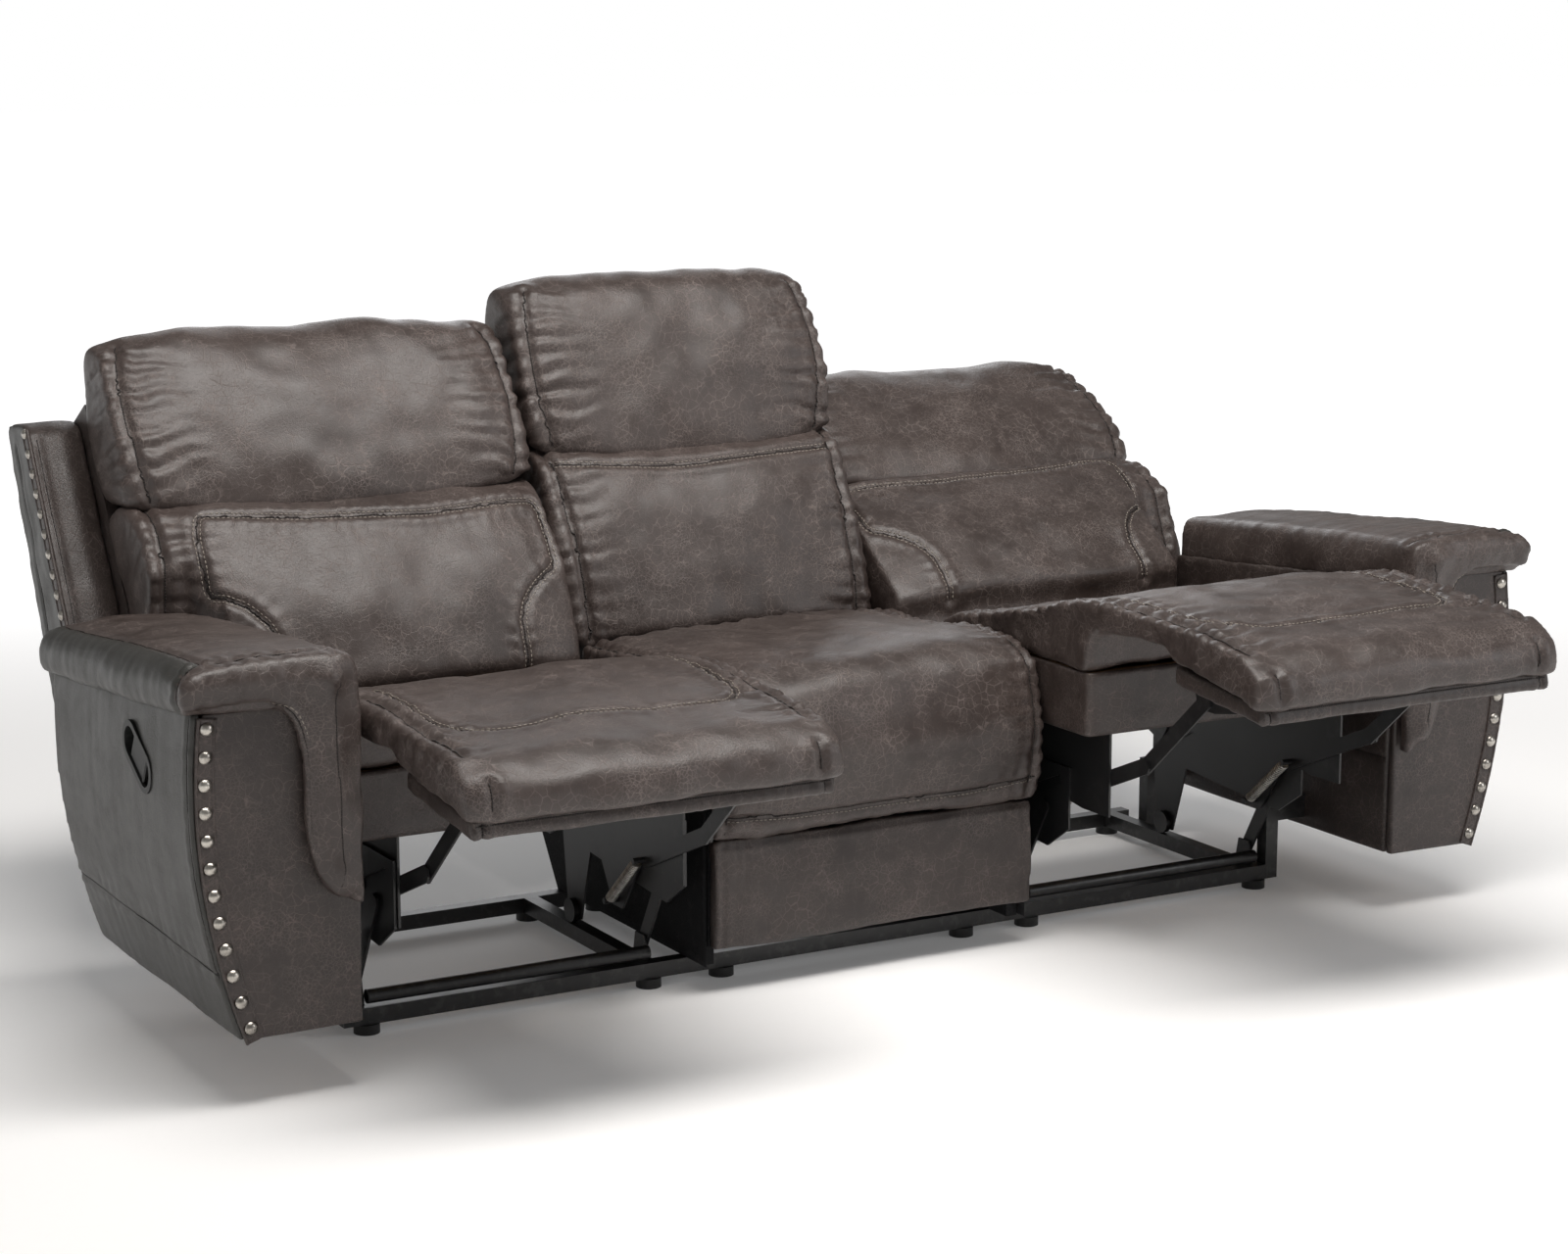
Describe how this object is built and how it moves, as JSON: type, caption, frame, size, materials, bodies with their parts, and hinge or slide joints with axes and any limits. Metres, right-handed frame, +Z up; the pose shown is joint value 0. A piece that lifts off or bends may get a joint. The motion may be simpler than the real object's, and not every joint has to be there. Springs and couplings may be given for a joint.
{
  "type": "reclining sofa",
  "caption": "Reclining sofa with a fixed centre seat, outer seats whose footrests fold and whose backs recline on steel mechanisms, and padded arms with release handles.",
  "frame": {"origin": "on the floor, under the middle of the sofa as pictured", "axes": "+Z up, +Y towards the back, +X towards the seated person's left; the viewer's right"},
  "size_m": [2.388, 1.6241, 1.0397],
  "materials": {
    "black_steel": "satin black paint",
    "zinc_wire": "bright zinc plate",
    "spring_steel": "oiled steel",
    "black_plastic": "moulded, matt",
    "hardwood": "raw, sawn",
    "nail_nickel": "antique nickel, domed",
    "side_leather": "smooth leather-look cloth, soft sheen",
    "panel_leather": "distressed leather-look cloth",
    "cushion_leather": "distressed leather-look cloth over foam"
  },
  "bodies": {
    "base": {"glide_feet": "black_plastic", "arm_brackets": "black_steel", "arm_frames": "hardwood", "arm_outer_panels": "side_leather", "arm_inner_panels": "panel_leather", "arm_front_panels": "panel_leather", "arm_nail_strips": "panel_leather", "arm_nails": "nail_nickel", "handle_bezels": "black_plastic", "centre_seat_frame": "hardwood", "centre_seat_springs": "spring_steel", "centre_seat_cushion": "cushion_leather", "centre_apron": "panel_leather", "centre_back_frame": "hardwood", "centre_lumbar_cushion": "cushion_leather", "centre_headrest": "cushion_leather", "centre_back_panel": "side_leather", "base_rails": "black_steel", "left_arm_pad": "cushion_leather", "right_arm_pad": "cushion_leather"},
    "left_lever": {"left_release_lever": "black_plastic"},
    "left_carriage": {"left_carrier_plates": "black_steel"},
    "left_seat": {"left_seat_frame": "hardwood", "left_seat_springs": "spring_steel", "left_seat_cushion": "cushion_leather", "left_seat_plates": "black_steel", "left_tension_springs": "zinc_wire"},
    "left_back": {"left_back_brackets": "black_steel", "left_back_frame": "hardwood", "left_lumbar_cushion": "cushion_leather", "left_headrest": "cushion_leather", "left_back_panel": "side_leather", "left_wing": "side_leather", "left_wing_nails": "nail_nickel"},
    "left_footrest": {"left_footrest_board": "panel_leather", "left_footrest_pad": "cushion_leather", "left_footrest_brackets": "black_steel"},
    "left_upper_links": {"left_upper_links": "black_steel"},
    "left_lower_links": {"left_lower_links": "black_steel"},
    "left_swing_links": {"left_swing_links": "black_steel"},
    "right_lever": {"right_release_lever": "black_plastic"},
    "right_carriage": {"right_carrier_plates": "black_steel"},
    "right_seat": {"right_seat_frame": "hardwood", "right_seat_springs": "spring_steel", "right_seat_cushion": "cushion_leather", "right_seat_plates": "black_steel", "right_tension_springs": "zinc_wire"},
    "right_back": {"right_back_brackets": "black_steel", "right_back_frame": "hardwood", "right_lumbar_cushion": "cushion_leather", "right_headrest": "cushion_leather", "right_back_panel": "side_leather", "right_wing": "side_leather", "right_wing_nails": "nail_nickel"},
    "right_footrest": {"right_footrest_board": "panel_leather", "right_footrest_pad": "cushion_leather", "right_footrest_brackets": "black_steel"},
    "right_upper_links": {"right_upper_links": "black_steel"},
    "right_lower_links": {"right_lower_links": "black_steel"},
    "right_swing_links": {"right_swing_links": "black_steel"}
  },
  "joints": [
    {"name": "left_footrest", "type": "hinge", "parent": "left_seat", "child": "left_footrest", "pos_m": [-0.613, -0.345, 0.47], "axis": [1, 0, 0], "range_deg": [0, 90]},
    {"name": "left_carriage_slide", "type": "slide", "parent": "base", "child": "left_carriage", "axis": [0, 1, 0], "range_m": [0, 0.1]},
    {"name": "left_recline", "type": "slide", "parent": "left_carriage", "child": "left_seat", "axis": [0, -0.9285, 0.3714], "range_m": [0, 0.1077]},
    {"name": "left_back_tilt", "type": "hinge", "parent": "left_seat", "child": "left_back", "pos_m": [-0.613, 0.21, 0.19], "axis": [-1, 0, 0], "range_deg": [0, 26.6]},
    {"name": "left_lower_link_turn", "type": "hinge", "parent": "left_seat", "child": "left_lower_links", "pos_m": [-0.613, -0.235, 0.235], "axis": [1, 0, 0], "range_deg": [0, 105], "deforming": ["left_tension_springs"]},
    {"name": "left_upper_link_turn", "type": "hinge", "parent": "left_footrest", "child": "left_upper_links", "pos_m": [-0.613, -0.52, 0.423], "axis": [1, 0, 0], "range_deg": [-128, 0]},
    {"name": "left_swing_link_turn", "type": "hinge", "parent": "base", "child": "left_swing_links", "pos_m": [-0.613, -0.13, 0.062], "axis": [1, 0, 0], "range_deg": [-35, 0]},
    {"name": "left_release_pull", "type": "hinge", "parent": "base", "child": "left_lever", "pos_m": [-1.171, -0.21598, 0.453], "axis": [0, -0.5, 0.866], "range_deg": [0, 25], "stiffness_Nm_per_rad": 0.5},
    {"name": "right_footrest", "type": "hinge", "parent": "right_seat", "child": "right_footrest", "pos_m": [0.613, -0.445, 0.51], "axis": [1, 0, 0], "range_deg": [0, 90]},
    {"name": "right_carriage_slide", "type": "slide", "parent": "base", "child": "right_carriage", "axis": [0, 1, 0], "range_m": [0, 0.1]},
    {"name": "right_recline", "type": "slide", "parent": "right_carriage", "child": "right_seat", "axis": [0, -0.9285, 0.3714], "range_m": [-0.1077, 0]},
    {"name": "right_back_tilt", "type": "hinge", "parent": "right_seat", "child": "right_back", "pos_m": [0.613, 0.11, 0.23], "axis": [-1, 0, 0], "range_deg": [-26.6, 0]},
    {"name": "right_lower_link_turn", "type": "hinge", "parent": "right_seat", "child": "right_lower_links", "pos_m": [0.613, -0.335, 0.275], "axis": [1, 0, 0], "range_deg": [0, 105], "deforming": ["right_tension_springs"]},
    {"name": "right_upper_link_turn", "type": "hinge", "parent": "right_footrest", "child": "right_upper_links", "pos_m": [0.613, -0.62, 0.463], "axis": [1, 0, 0], "range_deg": [-128, 0]},
    {"name": "right_swing_link_turn", "type": "hinge", "parent": "base", "child": "right_swing_links", "pos_m": [0.613, -0.13, 0.062], "axis": [1, 0, 0], "range_deg": [-35, 0]},
    {"name": "right_release_pull", "type": "hinge", "parent": "base", "child": "right_lever", "pos_m": [1.171, -0.21598, 0.453], "axis": [0, 0.5, -0.866], "range_deg": [0, 25], "stiffness_Nm_per_rad": 0.5}
  ],
  "couplings": [
    {"joint": "left_carriage_slide", "follows": "left_footrest", "m_per_rad": 0.06366},
    {"joint": "left_lower_link_turn", "follows": "left_footrest", "ratio": 1.162},
    {"joint": "left_upper_link_turn", "follows": "left_footrest", "ratio": -1.412},
    {"joint": "left_swing_link_turn", "follows": "left_footrest", "ratio": -0.388},
    {"joint": "left_back_tilt", "follows": "left_recline", "rad_per_m": 4.294},
    {"joint": "right_carriage_slide", "follows": "right_footrest", "m_per_rad": 0.06366},
    {"joint": "right_lower_link_turn", "follows": "right_footrest", "ratio": 1.162},
    {"joint": "right_upper_link_turn", "follows": "right_footrest", "ratio": -1.412},
    {"joint": "right_swing_link_turn", "follows": "right_footrest", "ratio": -0.388},
    {"joint": "right_back_tilt", "follows": "right_recline", "rad_per_m": 4.294}
  ]
}
